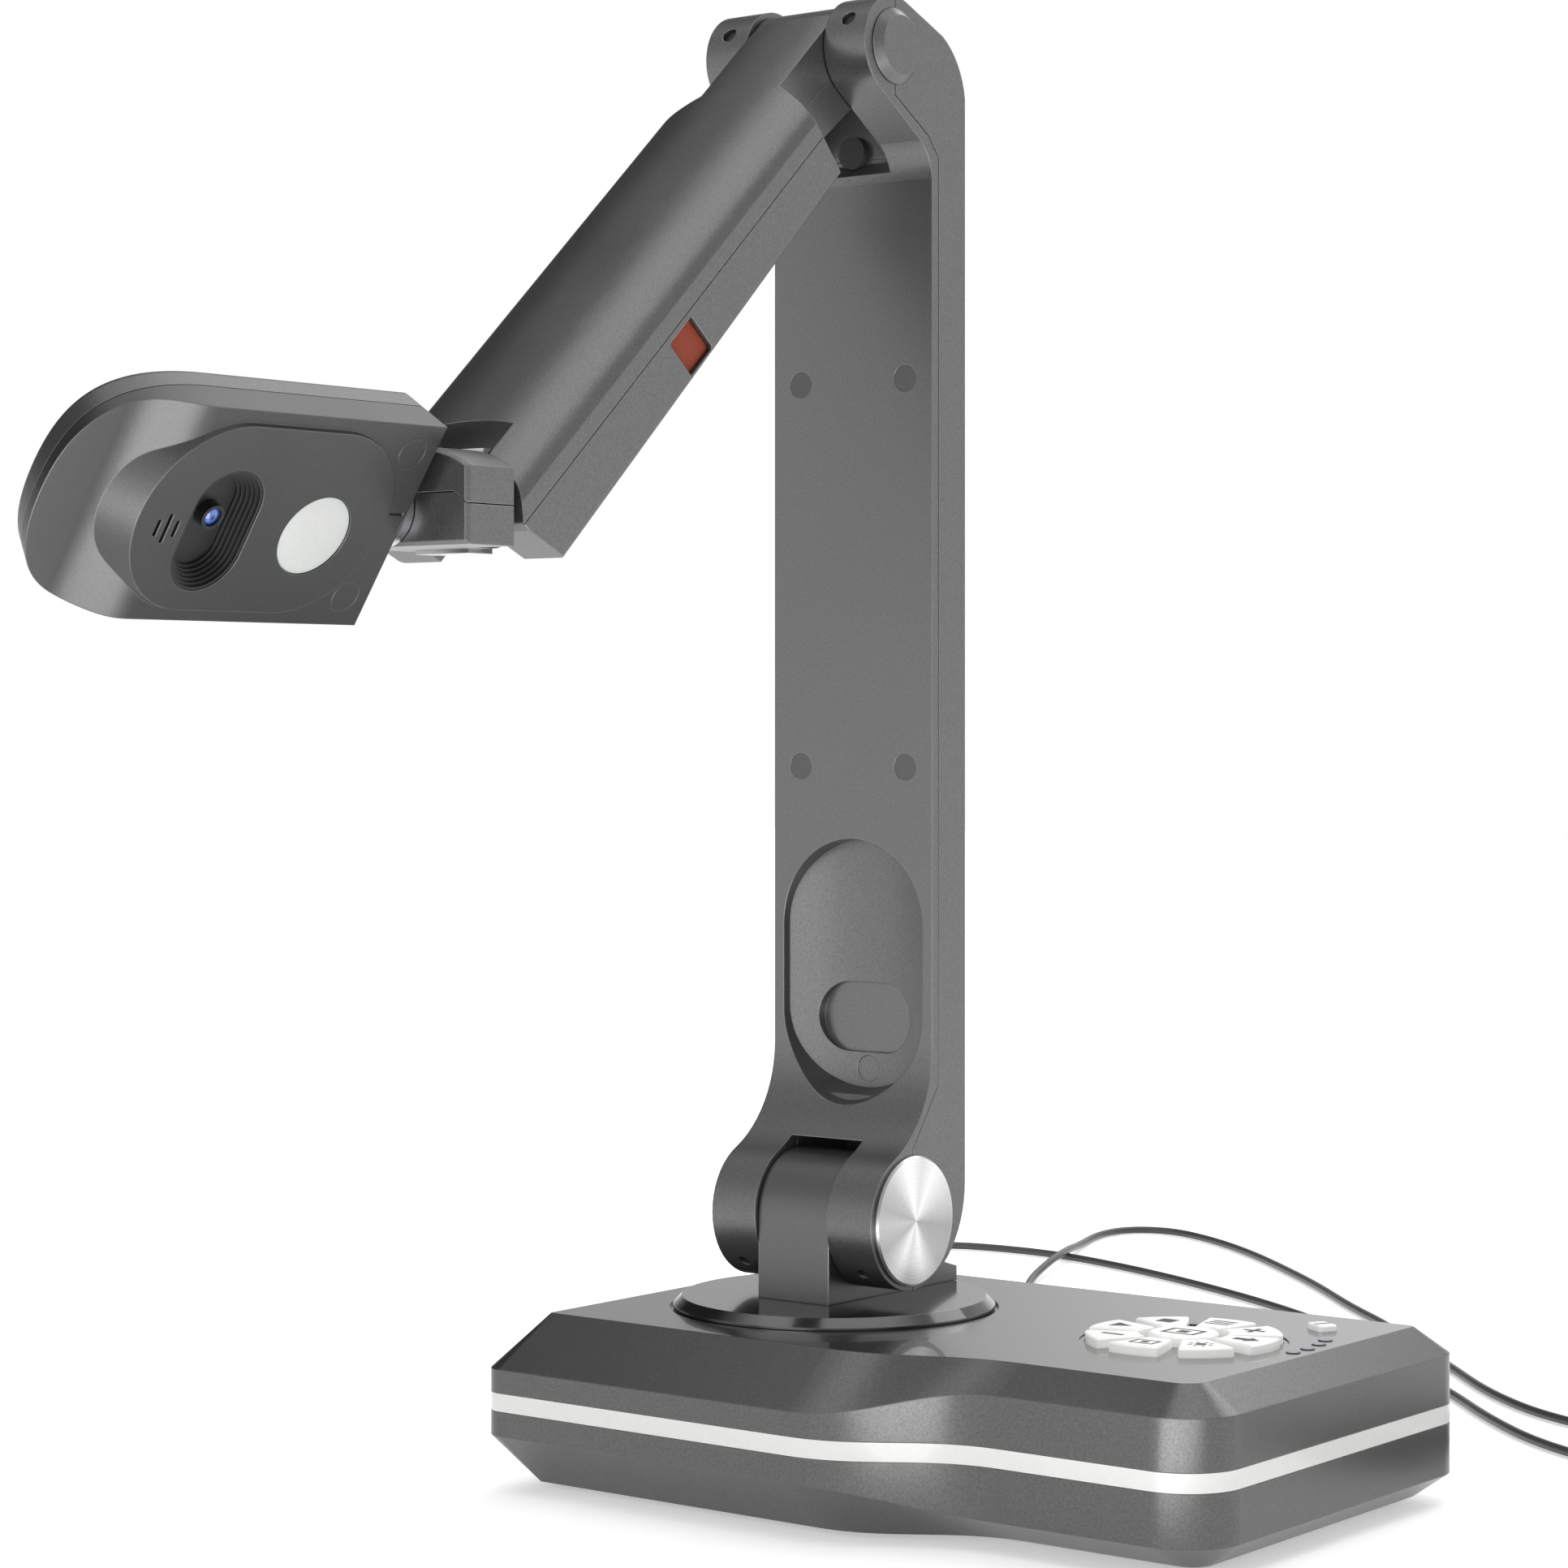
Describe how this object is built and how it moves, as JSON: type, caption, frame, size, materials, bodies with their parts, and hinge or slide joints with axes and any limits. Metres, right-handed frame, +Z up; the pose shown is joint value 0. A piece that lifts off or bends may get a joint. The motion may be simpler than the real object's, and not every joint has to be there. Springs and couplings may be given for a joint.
{
  "type": "book scanner",
  "caption": "Desktop document camera used as a book scanner: weighted console with keypad, swivelling foldable stand, turning camera head and two leads.",
  "frame": {"origin": "on the surface that the feet stand on, midway between the console's front and back, 3.7 mm right of its middle", "axes": "+X along the console towards the keypad, +Y towards its rear where the leads leave, +Z up"},
  "size_m": [0.6052, 0.9387, 0.5035],
  "materials": {
    "base_paint": "semi-gloss, fine metallic fleck",
    "strip_white": "translucent white, satin",
    "foot_rubber": "matt",
    "steel": "bright steel",
    "weight_iron": "raw",
    "board_green": "solder mask",
    "bezel_silver": "satin",
    "key_white": "glossy",
    "lens_clear": "clear light pipe",
    "disc_grey": "satin",
    "stand_grey": "satin, mid grey",
    "washer_nylon": "natural",
    "cap_metal": "radially brushed",
    "stand_alloy": "raw extrusion",
    "plug_grey": "matt",
    "bush_black": "matt",
    "button_orange": "satin orange-red",
    "bezel_black": "gloss",
    "lens_glass": "blue coated",
    "diffuser_white": "frosted",
    "cord_black": "satin jacket",
    "plug_black": "satin"
  },
  "bodies": {
    "base": {"base_top_shell": "base_paint", "base_bottom_shell": "base_paint", "light_strip": "strip_white", "rubber_feet": "foot_rubber", "base_screws": "steel", "base_weight": "weight_iron", "main_board": "board_green", "key_bezel": "bezel_silver", "key_board": "board_green", "indicator_lenses": "lens_clear", "swivel_washer": "washer_nylon", "cord_reliefs": "cord_black", "power_cord": "cord_black", "data_cord": "cord_black", "power_coil": "cord_black", "data_coil": "cord_black", "power_plug": "plug_black", "data_plug": "plug_black"},
    "turntable": {"turntable_disc": "disc_grey", "swivel_sleeve": "steel", "swivel_nut": "steel", "pedestal_screws": "steel", "pedestal": "stand_grey"},
    "column": {"column_front_shell": "stand_grey", "column_rear_shell": "stand_grey", "column_frame": "stand_alloy", "tilt_shaft": "steel", "tilt_caps": "cap_metal", "hinge_caps": "stand_grey", "column_screw_plugs": "plug_grey", "cable_bush": "bush_black", "ear_screws": "steel", "arm_shaft": "steel"},
    "arm": {"arm_upper_shell": "stand_grey", "arm_lower_shell": "stand_grey", "pivot_shaft": "steel"},
    "side_button": {"side_button": "button_orange"},
    "knuckle": {"knuckle_upper_shell": "stand_grey", "knuckle_lower_shell": "stand_grey", "knuckle_bracket": "stand_alloy"},
    "head": {"head_back_shell": "stand_grey", "head_lens_shell": "stand_grey", "lens_bezel": "bezel_black", "lens_barrel": "bezel_black", "lens_glass": "lens_glass", "lamp_diffuser": "diffuser_white", "lamp_board": "board_green", "sensor_board": "board_green", "head_screw_plugs": "plug_grey", "roll_shaft": "steel"},
    "key_1": {"key_1": "key_white"},
    "key_2": {"key_2": "key_white"},
    "key_3": {"key_3": "key_white"},
    "key_4": {"key_4": "key_white"},
    "key_5": {"key_5": "key_white"},
    "key_6": {"key_6": "key_white"},
    "key_7": {"key_7": "key_white"},
    "key_8": {"key_8": "key_white"},
    "key_centre": {"key_centre": "key_white"},
    "key_power": {"key_power": "key_white"}
  },
  "joints": [
    {"name": "turntable_swivel", "type": "hinge", "parent": "base", "child": "turntable", "pos_m": [-0.06, -0.001, 0.06], "axis": [0, 0, 1], "range_deg": [-90, 90]},
    {"name": "column_tilt", "type": "hinge", "parent": "turntable", "child": "column", "pos_m": [-0.06, -0.002, 0.09], "axis": [1, 0, 0], "range_deg": [0, 25]},
    {"name": "arm_hinge", "type": "hinge", "parent": "column", "child": "arm", "pos_m": [-0.06, -0.012, 0.4865], "axis": [1, 0, 0], "range_deg": [-35, 45]},
    {"name": "head_pitch", "type": "hinge", "parent": "arm", "child": "knuckle", "pos_m": [-0.06, -0.1945, 0.32304], "axis": [-1, 0, 0], "range_deg": [-60, 12]},
    {"name": "head_roll", "type": "hinge", "parent": "knuckle", "child": "head", "pos_m": [-0.06, -0.2265, 0.32304], "axis": [0, 1, 0], "range_deg": [-100, 110]},
    {"name": "key_1_press", "type": "slide", "parent": "base", "child": "key_1", "axis": [0, 0, -1], "range_m": [0, 0.0008], "stiffness_N_per_m": 900, "springref_m": -0.0004},
    {"name": "key_2_press", "type": "slide", "parent": "base", "child": "key_2", "axis": [0, 0, -1], "range_m": [0, 0.0008], "stiffness_N_per_m": 900, "springref_m": -0.0004},
    {"name": "key_3_press", "type": "slide", "parent": "base", "child": "key_3", "axis": [0, 0, -1], "range_m": [0, 0.0008], "stiffness_N_per_m": 900, "springref_m": -0.0004},
    {"name": "key_4_press", "type": "slide", "parent": "base", "child": "key_4", "axis": [0, 0, -1], "range_m": [0, 0.0008], "stiffness_N_per_m": 900, "springref_m": -0.0004},
    {"name": "key_5_press", "type": "slide", "parent": "base", "child": "key_5", "axis": [0, 0, -1], "range_m": [0, 0.0008], "stiffness_N_per_m": 900, "springref_m": -0.0004},
    {"name": "key_6_press", "type": "slide", "parent": "base", "child": "key_6", "axis": [0, 0, -1], "range_m": [0, 0.0008], "stiffness_N_per_m": 900, "springref_m": -0.0004},
    {"name": "key_7_press", "type": "slide", "parent": "base", "child": "key_7", "axis": [0, 0, -1], "range_m": [0, 0.0008], "stiffness_N_per_m": 900, "springref_m": -0.0004},
    {"name": "key_8_press", "type": "slide", "parent": "base", "child": "key_8", "axis": [0, 0, -1], "range_m": [0, 0.0008], "stiffness_N_per_m": 900, "springref_m": -0.0004},
    {"name": "key_centre_press", "type": "slide", "parent": "base", "child": "key_centre", "axis": [0, 0, -1], "range_m": [0, 0.0008], "stiffness_N_per_m": 900, "springref_m": -0.0004},
    {"name": "key_power_press", "type": "slide", "parent": "base", "child": "key_power", "axis": [0, 0, -1], "range_m": [0, 0.0008], "stiffness_N_per_m": 900, "springref_m": -0.0004},
    {"name": "side_button_press", "type": "slide", "parent": "arm", "child": "side_button", "axis": [-1, 0, 0], "range_m": [0, 0.0015], "stiffness_N_per_m": 700, "springref_m": -0.0004}
  ]
}
